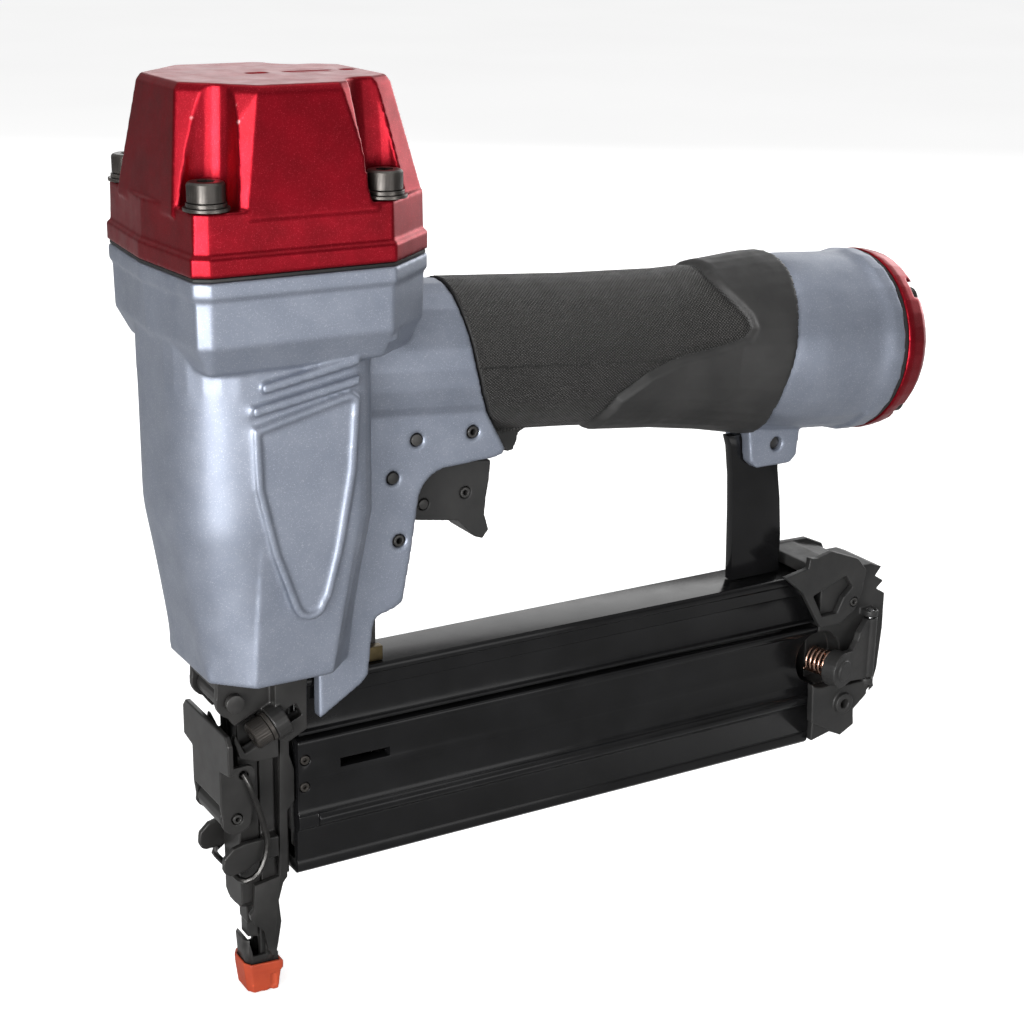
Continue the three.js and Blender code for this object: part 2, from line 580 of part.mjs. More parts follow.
// Sheet-metal lever with two folded side plates, held down by the wire bail.
function makeDoorLatch() {
  const [px, pz] = LATCH_PIVOT;
  const front = [
    [-9.3, 58.6], [9.3, 58.6], [9.3, 68.4], [15, 69.4], [15, 77.6], [13.2, 79.6], [-13.2, 79.6], [-15, 77.6], [-15, 69.4], [-9.3, 68.4],
  ];
  const plate = barX(front, -13.7, -12.3);
  const side = plateY([
    [-13.7, 68.4], [-13.7, 58.6], [-13.2, 54.6], ...arc([px, pz], 4.3, 200, 330, 7), [-4.8, 58], [-4.2, 64.6],
    ...arc([-6.2, 66.6], 2, 0, 80, 3),
  ], -9.3, -8);
  const lever = join(plate, bothSides(side));
  return cut(lever, rodY(LATCH_PIVOT, -12, 12, 1.55, 12), rodY(BAIL_PIVOT, -12, 12, 1.25, 10));
}

function makeBail() {
  const [bx, bz] = BAIL_PIVOT;
  const side = [
    [bx, -7.3, bz], [bx, -9.4, bz], [bx + 0.6, -10.6, bz - 1.6], [bx + 3.9, -10.8, bz - 12.6], [bx + 5.3, -10.8, bz - 19],
    [bx + 4.5, -10.8, bz - 24], [bx + 2.4, -10.8, bz - 27.8], [bx - 0.2, -10.4, bz - 29.3], [bx - 1.6, -8.8, bz - 29.4],
  ];
  const far = side.map(([x, y, z]) => [x, -y, z]).reverse();
  return wire([...side, [bx - 1.7, 0, bz - 29.4], ...far], 0.85, 44, 6);
}

// Safety arm: a collar round the nose tip, two legs beside the nose and an upright in the web.
function makeContactArm() {
  const collar = loft([
    level(mirrored([[-5.3, -2.5], [-4.3, -4.2], [2.4, -4.8]]), 2), level(mirrored([[-6.1, -2.7], [-4.6, -4.5], [2.8, -5]]), 15.3),
  ]);
  const tip = prismZ(mirrored([[-4.95, -2.3], [-4, -3.75], [1.6, -3.9]]), 0, 20);
  const sides = plateY([[-4.2, 10.6], [-3.2, 10.6], [-3.2, 16], [-5, 16], [-5, 14.6]], -8, 8);
  const ring = cut(collar, tip, sides, block(-3.4, 4, -8, 8, 10.6, 16));
  const leg = plateY([
    [0.2, 11.4], [1, 11.4], [1.8, 14.9], [2.8, 20.8], [2.2, 27], [3.6, 32], [4.8, 33.4], [5.2, 52.4], [7.2, 54.8], [7.3, 63.6], [6, 68],
    [6, 91.4], [3.6, 91.4], [3.6, 72], [2.6, 34], [-4.3, 33], [-4.7, 26], [-5.8, 24.8], [-5.6, 23.2], [-4.6, 21.8], [-2.2, 19.2],
    [-1, 13.6],
  ], -7.3, -5.9);
  const heel = join(block(-0.5, 1.2, -7.2, -4, 11.5, 13.6), block(-0.5, 1.2, -5, -3.9, 9, 13.6));
  const bridge = join(block(3.6, 6, -7.3, 7.3, 89.8, 91.4), block(5, 33, -3.4, 3.4, 89.8, 91.4));
  const upright = plateY([
    [29, 89.8], [33, 89.8], [33, 98.6], [36.5, 103], [36.6, 106.2], [33, 108.4], [33, 122.5], [29, 122.5],
  ], -3, 3);
  return join(ring, bothSides(join(leg, heel)), bridge, upright);
}

function makeNosePad() {
  const rim = loft([
    level(mirrored([[-5.6, -3.1], [-4.4, -4.8], [2.3, -5.6]]), 0), level(mirrored([[-6.3, -3.2], [-5, -5.1], [2.9, -6]]), 5.6),
    level(mirrored([[-6.4, -3.1], [-5.1, -5.2], [3.5, -6.3]]), 6.4), level(mirrored([[-6.5, -3.1], [-5.2, -5.3], [3.5, -6.4]]), 8.6),
  ]);
  const pocket = loft([
    level(mirrored([[-5.5, -2.7], [-4.4, -4.4], [2.5, -5.2]]), 1.6), level(mirrored([[-6, -2.9], [-4.8, -4.7], [3, -5.4]]), 11),
  ]);
  const grooves = [-3.1, -0.4].flatMap((x) => [-7, 5].map((y) => block(x, x + 1, y, y + 2, -1, 0.9)));
  const flutes = [-7, 5.3].map((y) => block(0.1, 1.5, y, y + 1.7, 1, 5));
  return cut(rim, pocket, block(-3, 1.2, -2.6, 2.6, -1, 3), ...grooves, ...flutes);
}

function makeNose() {
  piece("nose_body", makeNoseBody(), GUNMETAL);
  piece("nose_door", makeNoseDoor(), GUNMETAL);
  piece("door_hinge_pin", join(rodY(DOOR_HINGE, -9.6, 9.6, 1.55, 12), rodY(DOOR_HINGE, -10.8, -9.3, 2.4, 14)), STEEL);
  piece("door_latch", makeDoorLatch(), GUNMETAL);
  piece("latch_pin", cut(rodY(LATCH_PIVOT, -9.7, 9.7, 1.25, 12), rodY(LATCH_PIVOT, -12, 12, 0.65, 8)), STEEL);
  piece("wire_bail", makeBail(), STEEL);
  piece("contact_arm", makeContactArm(), GUNMETAL);
  piece("nose_pad", makeNosePad(), ORANGE);
  piece("contact_spring", ring(2.6, 1.9, 91.7, 97.9, 14).translate(18, 0, 0), STEEL);
  const { head, washer } = NOSE_SCREW;
  const upright = join(socketScrew(3.7, head, 2, 8), rodZ(0, 0, -washer, 0.1, 4, 20));
  const tilt = new THREE.Quaternion().setFromUnitVectors(new THREE.Vector3(0, 0, 1), new THREE.Vector3(...NOSE_SCREW.out));
  const screw = upright.applyQuaternion(tilt).translate(...alongNoseScrew(head));
  piece("nose_screw_near", screw, GUNMETAL);
  piece("nose_screw_far", reflected(screw), GUNMETAL);
}

// ---------------------------------------------------------------- magazine

// Cross-sections across the magazine: each is given for y <= 0 and completed in reflection.
function twoFlanks(half) {
  return [...half, ...half.map(([y, z]) => [-y, z]).reverse()].reverse();
}

function railSection() {
  const half = [
    [-4.6, 84.8], [-4.6, RAIL.base], [-6.6, RAIL.base], [-7.8, 72.6], [-7.8, 73.4], [-6.8, 73.8], [-6.5, 77],
    [-7.1, 82], [-7.4, 82.2], [-7.4, 85.6], [-8, 86.2], [-8, 87.7], [-7.5, RAIL.top],
  ];
  return twoFlanks(half);
}

function coverSection() {
  const bead = arc([-7.9, 48.4], 1.9, 100, 260, 6);
  const half = [
    [-4.9, 36.4], [-4.9, COVER.top], [-8.3, COVER.top], [-8.6, 71], [-8.6, 69.6], [-8.3, 69.2], [-8.6, 60], [-7.7, 52],
    ...bead, [-7, 45], [-6.9, 37.2], [-6.6, 36.7], [-6.9, 36.2], [-6.9, 33.8], [-5.9, 32.8],
  ];
  return twoFlanks(half);
}

function makeRail() {
  piece("magazine_rail", barX(railSection(), RAIL.front, RAIL.rear), BLACK);
  const guide = join(block(26.6, 33.4, -6.4, 6.4, 88.5, 89.2), block(26.6, 33.4, -6.4, -3.9, 88.5, 92.4), block(26.6, 33.4, 3.9, 6.4, 88.5, 92.4));
  piece("arm_guide", cut(guide, block(28.6, 33.6, -3.4, 3.4, 88, 90)), BRASS);
  const strap = [
    [145.3, 132.4], [146.4, 129], [147.6, 120], [148.2, 110], [148.5, 98], [148.9, 88.5],
    [166.2, 88.5], [166, 100], [165, 111], [163.6, 120], [162.8, 132.4],
  ];
  piece("magazine_strap", cut(plateY(strap, -1.5, 1.5), rodY([159, 129.6], -3, 3, 2.05, 14)), BLACK);
  piece("strap_bolt", rodY([159, 129.6], -4.6, 4.6, 1.75, 14), GUNMETAL);
}

// Fixed guard astride the rail's rear end, with a pocket in each cheek.
function makeGuard() {
  const nearCrest = [[191, 81.2], [192, 87.4], [188.3, 91.6], [178.6, 95.3], [173, 94.1], [170.2, 94.6], [169.8, 91.4], [161.4, 89.9]];
  const farCrest = [[191, 81.2], [192.4, 86.3], [190.9, 89.9], [185, 92.5], [167.5, 92.9], [160, 92.3], [157.9, 91.4]];
  const belly = [[168.3, 84.1], [175.7, 71.9], [183.2, 71.8], [188.7, 75.5]];
  const near = plateY([...belly, ...nearCrest], -10.9, -8.9);
  const far = plateY([...belly, ...farCrest], 8.9, 10.9);
  const bridge = plateY([[170.4, 92.4], [170.6, 88.7], [191, 88.7], [187.9, 89.9], [178.8, 92.4]], -9.4, 9.4);
  const pocket = [[172.2, 82.5], [176.1, 75.3], [181.6, 75.4], [183.8, 79.9], [187, 82.8], [184.2, 86.9]];
  const pins = rodY([188, 77.9], -15, 15, 1.6, 12);
  const recess = plateY(pocket, -15, -8);
  piece("magazine_guard", cut(join(near, far, bridge), pins, bothSides(recess)), PLASTIC);
  const pin = cut(rodY([188, 77.9], -10.9, -8.95, 1.3, 12), rodY([188, 77.9], -16, -8, 0.7, 8));
  piece("guard_pin_near", pin, GUNMETAL);
  piece("guard_pin_far", reflected(pin), GUNMETAL);
}

function makeCover() {
  const bar = barX(coverSection(), COVER.front, COVER.rear);
  const window = plateY([[20, 61.8], [34.4, 61.8], [34.4, 64.3], [20, 64.3]], -12, -4);
  const places = [[10, 65.9], [9.8, 58.3]];
  piece("magazine_cover", cut(bar, window, bothSides(block(0, 13.4, -12, -8.62, 45, 52)),
    rodY(RELEASE_POCKET, -12, -4, 8.2, 28), ...places.map((at) => rodY(at, -12, -4, 1.5, 12))), BLACK);
  places.forEach((at, i) => {
    const screw = cut(rodY(at, -8.5, -5, 1.25, 12), rodY(at, -9, -7.4, 0.6, 6));
    piece(`cover_screw_${i + 1}`, screw, STEEL);
  });
}

// Block at the rear of the cover: pull ridges, latch pocket, foot and hinge lugs.
function makeEndBlock() {
  const outline = [
    [BLOCK_FRONT, 34], [184, 35.6], [188.3, 33.6], [193.3, 36.4], [192.6, 41.6], [199.6, 48.2], [201, 53.2], [202, 66.5],
    [201.8, 77.6], [198.4, 79.6], [201, 81.7], [197.6, 83.8], [199.8, 86.4], [196, 88], [BLOCK_FRONT, 88],
  ];
  const flank = plateY([
    [173, 55.2], [173.6, 42.4], [185, 35.8], [190, 38.4], [189.5, 43.4], [197, 49.6], [196, 52], [186, 52], [180, 54],
  ], -12.4, -9.9);
  const root = plateY([[BLOCK_FRONT, 53], [BLOCK_FRONT, 41], [185, 36.6], [189, 38.8], [188.6, 43.6], [195.6, 49.8], [186, 51.4]], -10, -8.4);
  const [hx, hy] = RELEASE_HINGE;
  const lugs = [[50.4, 52.6], [72.4, 74.4]].map(([z0, z1]) => (
    join(rodZ(hx, hy, z0, z1, 2.2, 16), block(hx - 2.2, hx + 2.2, hy, -8.4, z0, z1))));
  const solid = join(plateY(outline, -BLOCK_HALF, BLOCK_HALF), flank, root, rodY([184.6, 46.8], -14, -11, 3.2, 18), ...lugs);
  return cut(solid, rodY(RELEASE_POCKET, -13, -3, 8.2, 28), rodY([184.6, 46.8], -15, -9, 1.5, 12),
    rodZ(hx, hy, 46, 78, 1.25, 12), block(200.4, 203, -2.4, 2.4, 57, 70), block(198.2, 199.8, -9, -6.5, 61, 71));
}

// Runs a solid from the release lever's own frame (s along the lever, n outwards) to the part.
function onRelease(geometry) {
  const along = new THREE.Vector3(-Math.cos(RELEASE_TILT), -Math.sin(RELEASE_TILT), 0);
  const out = new THREE.Vector3(Math.sin(RELEASE_TILT), -Math.cos(RELEASE_TILT), 0);
  const frame = new THREE.Matrix4().makeBasis(along, out, new THREE.Vector3(0, 0, 1));
  return turned(geometry, frame.setPosition(RELEASE_HINGE[0], RELEASE_HINGE[1], 0));
}

function makeReleaseLever() {
  const { s, z, r } = RELEASE_PAD;
  const outline = [[-2.2, 53], [3, 53], [s - 4, z - 4.6], [s, z - r], [s, z + r], [s - 4.6, z + 5], [7.6, 66.6], [6.6, 68.8], [2.6, 72], [-2.2, 72]];
  const arm = plateY(outline, -1.1, 1.1);
  const pad = cut(rodY([s, z], -3.6, 1.1, r, 24), rodY([s, z], -4.6, -1, 4.4, 20));
  const button = rodY([s, z], 1, 1.7, 3.1, 20);
  const barrel = rodZ(0, 0, 53, 72, 2.2, 16);
  return onRelease(cut(join(arm, pad, button, barrel), rodZ(0, 0, 50, 75, 1.25, 12)));
}

function makeReleaseSpring() {
  const from = new THREE.Vector3(177.4, -4.3, RELEASE_PAD.z + 0.6);
  const pad = new THREE.Vector3(RELEASE_PAD.s, -3.5, RELEASE_PAD.z).applyMatrix4(new THREE.Matrix4().makeBasis(
    new THREE.Vector3(-Math.cos(RELEASE_TILT), -Math.sin(RELEASE_TILT), 0),
    new THREE.Vector3(Math.sin(RELEASE_TILT), -Math.cos(RELEASE_TILT), 0),
    new THREE.Vector3(0, 0, 1)).setPosition(RELEASE_HINGE[0], RELEASE_HINGE[1], 0));
  const axis = pad.clone().sub(from);
  const side = new THREE.Vector3(0, 0, 1);
  const other = new THREE.Vector3().crossVectors(axis, side).normalize();
  const [turns, perTurn, radius] = [4.5, 10, 3.2];
  const points = Array.from({ length: turns * perTurn + 1 }, (_, i) => {
    const angle = (2 * Math.PI * i) / perTurn;
    const at = from.clone().addScaledVector(axis, i / (turns * perTurn));
    return at.addScaledVector(side, radius * Math.cos(angle)).addScaledVector(other, radius * Math.sin(angle)).toArray();
  });
  return wire(points, 0.45, points.length - 1, 6);
}

function makeMagazineEnd() {
  piece("cover_end_block", makeEndBlock(), PLASTIC);
  piece("release_lever", makeReleaseLever(), PLASTIC);
  piece("release_pin", rodZ(...RELEASE_HINGE, 50.6, 74.2, 1, 12), STEEL);
  piece("release_spring", makeReleaseSpring(), COPPER);
}

function makePusher() {
  const blade = block(9.6, 14, -0.9, 0.9, 38, 84);
  const slider = block(9.6, 38, -4.5, 4.5, 42, 60);
  const drum = rodY([27, 52], -9, 9, 6.2, 20);
  piece("pusher", cut(join(blade, slider), block(19, 35, -3.4, 3.4, 44, 61), common(drum, block(19, 35, -3.4, 3.4, 44, 61))), GUNMETAL);
  piece("pusher_spring_coil", cut(rodY([27, 52.4], -3, 3, 5.8, 20), rodY([27, 52.4], -5, 5, 2.4, 14)), STEEL);
}

// ---------------------------------------------------------------- assembly

piece("housing", makeHousing(), SILVER);
piece("cylinder_cap", makeCap(), RED);
piece("cap_gasket", makeCapGasket(), SEAL);
makeCapFasteners();
makeDrive();
makeTriggerValve();
makeHandleEnd();
makeGrip();
makeTrigger();
makeHousingPins();
makeNose();
makeRail();
makeGuard();
makeCover();
makeMagazineEnd();
makePusher();

export default nailer;
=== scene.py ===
import json
import math

import bpy
import bmesh
import numpy as np
from mathutils import Matrix, Vector


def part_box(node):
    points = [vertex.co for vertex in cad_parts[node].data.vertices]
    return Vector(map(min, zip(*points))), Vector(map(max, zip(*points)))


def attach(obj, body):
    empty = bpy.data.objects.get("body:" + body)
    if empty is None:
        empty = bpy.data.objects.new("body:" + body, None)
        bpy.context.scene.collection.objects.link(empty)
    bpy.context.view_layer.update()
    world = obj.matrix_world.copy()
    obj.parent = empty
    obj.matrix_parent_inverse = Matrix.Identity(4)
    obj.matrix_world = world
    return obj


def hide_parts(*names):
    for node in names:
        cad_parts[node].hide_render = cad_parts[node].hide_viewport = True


MM = 0.001
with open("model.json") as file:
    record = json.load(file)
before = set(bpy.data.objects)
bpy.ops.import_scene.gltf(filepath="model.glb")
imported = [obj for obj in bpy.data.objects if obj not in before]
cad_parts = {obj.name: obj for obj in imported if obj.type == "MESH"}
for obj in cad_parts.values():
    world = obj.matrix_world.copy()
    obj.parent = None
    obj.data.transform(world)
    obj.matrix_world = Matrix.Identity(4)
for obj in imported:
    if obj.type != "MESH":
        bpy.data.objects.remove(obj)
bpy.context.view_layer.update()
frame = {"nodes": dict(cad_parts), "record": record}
scene = bpy.context.scene
BODY_OF = {node: body for body, nodes in frame["record"]["behaviour"]["bodies"].items() for node in nodes}


# ---------------------------------------------------------------- camera

AZIMUTH, ELEVATION, ROLL = -30.78, 18.32, 0.92      # degrees
TARGET = Vector((75.44, 0.0, 120.36)) * MM
DISTANCE = 519.8 * MM
LENS = 68.39                                        # mm on a 36 mm sensor


def make_camera():
    a, e = math.radians(AZIMUTH), math.radians(ELEVATION)
    back = Vector((math.sin(a) * math.cos(e), -math.cos(a) * math.cos(e), math.sin(e)))
    data = bpy.data.cameras.new("camera")
    data.lens, data.sensor_width = LENS, 36.0
    data.clip_start, data.clip_end = 0.02, 40.0
    camera = bpy.data.objects.new("camera", data)
    scene.collection.objects.link(camera)
    turn = (-back).to_track_quat("-Z", "Y").to_matrix().to_4x4() @ Matrix.Rotation(math.radians(ROLL), 4, "Z")
    camera.matrix_world = Matrix.Translation(TARGET + back * DISTANCE) @ turn
    scene.camera = camera


make_camera()


# ---------------------------------------------------------------- materials

class Nodes:
    """Short names for building one material's nodes."""

    def __init__(self, name):
        self.material = bpy.data.materials.new(name)
        self.material.use_nodes = True
        self.tree = self.material.node_tree
        self.shader = self.tree.nodes["Principled BSDF"]
        coords = self.add("ShaderNodeTexCoord")
        self.place = coords.outputs["Object"]

    def add(self, kind, **values):
        node = self.tree.nodes.new(kind)
        for key, value in values.items():
            setattr(node, key, value)
        return node

    def link(self, source, target):
        self.tree.links.new(source, target)

    def noise(self, size_mm, detail=3.0, rough=0.55, stretch=None):
        """Value of a noise whose lumps are about size_mm across."""
        node = self.add("ShaderNodeTexNoise")
        node.inputs["Scale"].default_value = 1.0 / (size_mm * MM)
        node.inputs["Detail"].default_value = detail
        node.inputs["Roughness"].default_value = rough
        source = self.place
        if stretch:
            scale = self.add("ShaderNodeMapping")
            scale.inputs["Scale"].default_value = stretch
            self.link(source, scale.inputs["Vector"])
            source = scale.outputs["Vector"]
        self.link(source, node.inputs["Vector"])
        return node.outputs["Fac"]

    def flakes(self, size_mm):
        """A random value per cell, for metallic flakes and sparkle."""
        node = self.add("ShaderNodeTexVoronoi")
        node.inputs["Scale"].default_value = 1.0 / (size_mm * MM)
        self.link(self.place, node.inputs["Vector"])
        split = self.add("ShaderNodeSeparateColor")
        self.link(node.outputs["Color"], split.inputs["Color"])
        return split.outputs["Red"]

    def vary(self, size_mm, detail, low=0.0, high=1.0):
        """A value that drifts between low and high over patches about size_mm across."""
        return self.remap(self.noise(size_mm, detail), 0.3, 0.7, low, high)

    def remap(self, value, low, high, to_low, to_high):
        node = self.add("ShaderNodeMapRange", clamp=True)
        keys = ("From Min", "From Max", "To Min", "To Max")
        for key, number in zip(keys, (low, high, to_low, to_high)):
            node.inputs[key].default_value = number
        self.link(value, node.inputs["Value"])
        return node.outputs["Result"]

    def math(self, operation, a, b=None):
        node = self.add("ShaderNodeMath", operation=operation)
        for socket, value in zip(node.inputs, (a, b)):
            if value is None:
                continue
            if isinstance(value, (int, float)):
                socket.default_value = value
            else:
                self.link(value, socket)
        return node.outputs["Value"]

    def mix(self, factor, a, b):
        node = self.add("ShaderNodeMix", data_type="RGBA")
        self.link(factor, node.inputs[0])
        for socket, value in ((node.inputs[6], a), (node.inputs[7], b)):
            if isinstance(value, tuple):
                socket.default_value = (*value, 1.0)
            else:
                self.link(value, socket)
        return node.outputs[2]

    def attribute(self, name):
        node = self.add("ShaderNodeAttribute", attribute_name=name)
        return node.outputs["Fac"]

    def bump(self, height, depth_mm, strength=1.0, after=None):
        node = self.add("ShaderNodeBump")
        node.inputs["Distance"].default_value = depth_mm * MM
        node.inputs["Strength"].default_value = strength
        self.link(height, node.inputs["Height"])
        if after is not None:
            self.link(after, node.inputs["Normal"])
        return node.outputs["Normal"]

    def edges(self, low, high):
        """0 on flat faces, rising to 1 on the sharpest outer edges."""
        geometry = self.add("ShaderNodeNewGeometry")
        return self.remap(geometry.outputs["Pointiness"], low, high, 0.0, 1.0)

    def finish(self, colour=None, rough=None, normal=None, **plain):
        for socket, value in (("Base Color", colour), ("Roughness", rough), ("Normal", normal)):
            if value is not None:
                self.link(value, self.shader.inputs[socket])
        for key, value in plain.items():
            self.shader.inputs[key.replace("_", " ")].default_value = value
        return self.material


def flake_paint(name, dark, light, spark, metallic, rough, grain, worn):
    """Metallic paint with sparkling flakes, slight orange peel and rubbed edges."""
    n = Nodes(name)
    fine = n.noise(grain, 2.0)
    base = n.mix(n.vary(9.0, 4.0), dark, light)
    speck = n.remap(n.flakes(grain), 0.88, 1.0, 0.0, 0.3)
    glitter = n.mix(speck, base, spark)
    wear = n.math("MULTIPLY", n.edges(0.56, 0.7), n.remap(n.noise(2.2), 0.45, 0.62, 0.0, 0.6))
    colour = n.mix(wear, glitter, worn)
    roughness = n.vary(5.0, 4.0, rough - 0.05, rough + 0.06)
    peel = n.bump(n.noise(2.4, 1.0), 0.02, 0.35)
    normal = n.bump(fine, 0.012, 0.5, peel)
    return n.finish(colour, roughness, normal, Metallic=metallic, Coat_Weight=0.08, Coat_Roughness=0.3)


def black_metal(name, dark, light, rough, grain, stretch=None, metallic=0.0, spread=0.07, wear=True):
    """Dark finished metal, rubbed paler on its edges where it wears."""
    n = Nodes(name)
    colour = n.mix(n.vary(14.0, 4.0), dark, light)
    if wear:
        rubbed = n.math("MULTIPLY", n.edges(0.53, 0.66), n.remap(n.noise(3.0), 0.4, 0.7, 0.0, 0.7))
        colour = n.mix(rubbed, colour, tuple(min(1.0, c * 4 + 0.01) for c in light))
    roughness = n.vary(7.0, 5.0, rough - spread, rough + spread)
    normal = n.bump(n.noise(grain, 3.0, 0.6, stretch), 0.01, 0.4)
    specular = 0.5 if wear else 0.22
    return n.finish(colour, roughness, normal, Metallic=metallic, Specular_IOR_Level=specular)


def moulded(name, dark, light, rough, grain=0.45, depth=0.02):
    """Moulded plastic or rubber with a fine grain and scuffed edges."""
    n = Nodes(name)
    colour = n.mix(n.vary(8.0, 4.0), dark, light)
    scuff = n.math("MULTIPLY", n.edges(0.53, 0.68), n.remap(n.noise(1.6), 0.4, 0.65, 0.0, 0.5))
    scuffed = n.mix(scuff, colour, tuple(min(1.0, c * 2.2 + 0.01) for c in light))
    roughness = n.vary(3.0, 4.0, rough - 0.06, rough + 0.06)
    normal = n.bump(n.noise(grain, 4.0, 0.65), depth, 0.5)
    return n.finish(scuffed, roughness, normal, Specular_IOR_Level=0.42)


def bare_metal(name, dark, light, rough):
    """Uncoated metal with patches of tarnish and faint tool marks."""
    n = Nodes(name)
    colour = n.mix(n.vary(3.0, 4.0), dark, light)
    roughness = n.remap(n.noise(1.2, 4.0, 0.6), 0.3, 0.7, rough - 0.08, rough + 0.1)
    normal = n.bump(n.noise(0.3, 3.0, 0.6), 0.008, 0.35)
    return n.finish(colour, roughness, normal, Metallic=1.0)


KNURL_ALONG, KNURL_AROUND = 0.95, 0.85             # pitch of the grip's knurl, mm


def grip_rubber(name):
    """Rubber with fine diamond knurling where the attribute 'knurl' is 1, plain grain elsewhere."""
    n = Nodes(name)
    knurl, wrap = n.attribute("knurl"), n.attribute("wrap")
    split = n.add("ShaderNodeSeparateXYZ")
    n.link(n.place, split.inputs["Vector"])
    along = n.math("MULTIPLY", split.outputs["X"], math.pi / (KNURL_ALONG * MM))
    around = n.math("MULTIPLY", wrap, math.pi / (KNURL_AROUND * MM))
    rise = n.math("ABSOLUTE", n.math("SINE", n.math("ADD", along, around)))
    fall = n.math("ABSOLUTE", n.math("SINE", n.math("SUBTRACT", along, around)))
    stud = n.math("MULTIPLY", n.math("MULTIPLY", rise, fall), knurl)
    grain = n.noise(0.5, 4.0, 0.65)
    tone = n.mix(n.vary(12.0, 5.0), (0.012, 0.0118, 0.0116), (0.022, 0.0215, 0.021))
    # The base tone, made lighter on the knurl's raised points.
    tone_paler_on_knurl_tops = n.mix(n.remap(stud, 0.25, 0.8, 0.0, 0.5), tone, (0.095, 0.09, 0.084))
    roughness = n.vary(4.0, 4.0, 0.5, 0.66)
    normal = n.bump(stud, 0.5, 1.0, n.bump(grain, 0.02, 0.4))
    return n.finish(tone_paler_on_knurl_tops, roughness, normal, Specular_IOR_Level=0.4)


RED = flake_paint("cap_paint", (0.17, 0.0003, 0.005), (0.24, 0.0006, 0.008), (0.72, 0.05, 0.08),
                  0.90, 0.38, 0.14, (0.55, 0.35, 0.35))
SILVER = flake_paint("body_paint", (0.195, 0.218, 0.270), (0.238, 0.262, 0.318), (0.60, 0.64, 0.72),
                     0.70, 0.46, 0.18, (0.62, 0.63, 0.66))
BLACK = black_metal("anodised_black", (0.0035, 0.0035, 0.0037), (0.0065, 0.0065, 0.0069), 0.2, 0.3,
                    stretch=(0.05, 1, 1), spread=0.04, wear=False)
PLASTIC = moulded("moulded_black", (0.011, 0.011, 0.011), (0.019, 0.0185, 0.018), 0.5)
GUNMETAL = black_metal("black_oxide", (0.022, 0.0216, 0.021), (0.046, 0.0445, 0.043), 0.38, 0.5,
                       metallic=0.45)
OXIDE = black_metal("oxide_screw", (0.030, 0.027, 0.024), (0.060, 0.054, 0.049), 0.34, 0.4, metallic=0.7)
NOSE = black_metal("nose_casting", (0.014, 0.0137, 0.0134), (0.030, 0.029, 0.028), 0.36, 0.6, metallic=0.4)
STEEL = bare_metal("bright_steel", (0.40, 0.40, 0.41), (0.62, 0.62, 0.63), 0.28)
WIRE = bare_metal("dark_wire", (0.035, 0.034, 0.033), (0.065, 0.063, 0.061), 0.34)
AGED = bare_metal("aged_brass", (0.07, 0.055, 0.03), (0.13, 0.10, 0.05), 0.4)
SEAL = moulded("seal_rubber", (0.006, 0.006, 0.006), (0.012, 0.012, 0.012), 0.6)
ORANGE = moulded("pad_rubber", (0.27, 0.030, 0.009), (0.37, 0.050, 0.015), 0.5, 0.4, 0.03)
BRASS = bare_metal("brass", (0.34, 0.24, 0.09), (0.48, 0.36, 0.15), 0.34)
COPPER = bare_metal("copper_wire", (0.40, 0.24, 0.18), (0.62, 0.40, 0.31), 0.26)
RUBBER = grip_rubber("grip_rubber")
FINISH = {"paint_red": RED, "cast_silver": SILVER, "black_rail": BLACK, "black_plastic": PLASTIC,
          "gunmetal": GUNMETAL, "steel": STEEL, "grip_rubber": RUBBER, "seal": SEAL,
          "orange_pad": ORANGE, "brass": BRASS, "copper_wire": COPPER}


# ---------------------------------------------------------------- meshes

SLOT_OF = {part["node"]: part["material_slot"] for part in frame["record"]["subparts"]}


def new_object(name, mesh, material):
    thing = bpy.data.objects.new(name, mesh)
    scene.collection.objects.link(thing)
    mesh.materials.clear()
    mesh.materials.append(material)
    return thing


def place(thing, *nodes):
    """Rides on the first node's body and hides the nodes that it stands in for."""
    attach(thing, BODY_OF[nodes[0]])
    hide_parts(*nodes)
    return thing


def apply_modifiers(thing, material):
    """Gives the object the mesh that its modifiers make, and takes them off."""
    depsgraph = bpy.context.evaluated_depsgraph_get()
    result = bpy.data.meshes.new_from_object(thing.evaluated_get(depsgraph))
    thing.modifiers.clear()
    thing.data = result
    result.materials.clear()
    result.materials.append(material)
    return result


def with_modifiers(name, source, material, modifiers):
    """A new object from a node's mesh with the modifiers applied to it."""
    thing = new_object(name, source.data.copy(), material)
    for kind, values in modifiers:
        modifier = thing.modifiers.new(kind.lower(), kind)
        for key, value in values.items():
            setattr(modifier, key, value)
    apply_modifiers(thing, material)
    return thing


def plugged(source, plugs):
    """A copy of the node's mesh with its screw holes filled, for remeshing."""
    work = bmesh.new()
    work.from_mesh(source.data)
    for x, y, low, high, r in plugs:
        at = Matrix.Translation((x * MM, y * MM, (low + high) / 2 * MM))
        bmesh.ops.create_cone(work, cap_ends=True, segments=24, radius1=r * MM, radius2=r * MM,
                              depth=(high - low) * MM, matrix=at)
    mesh = bpy.data.meshes.new(source.name + "_plugged")
    work.to_mesh(mesh)
    work.free()
    filled = bpy.data.objects.new(mesh.name, mesh)
    scene.collection.objects.link(filled)
    return filled


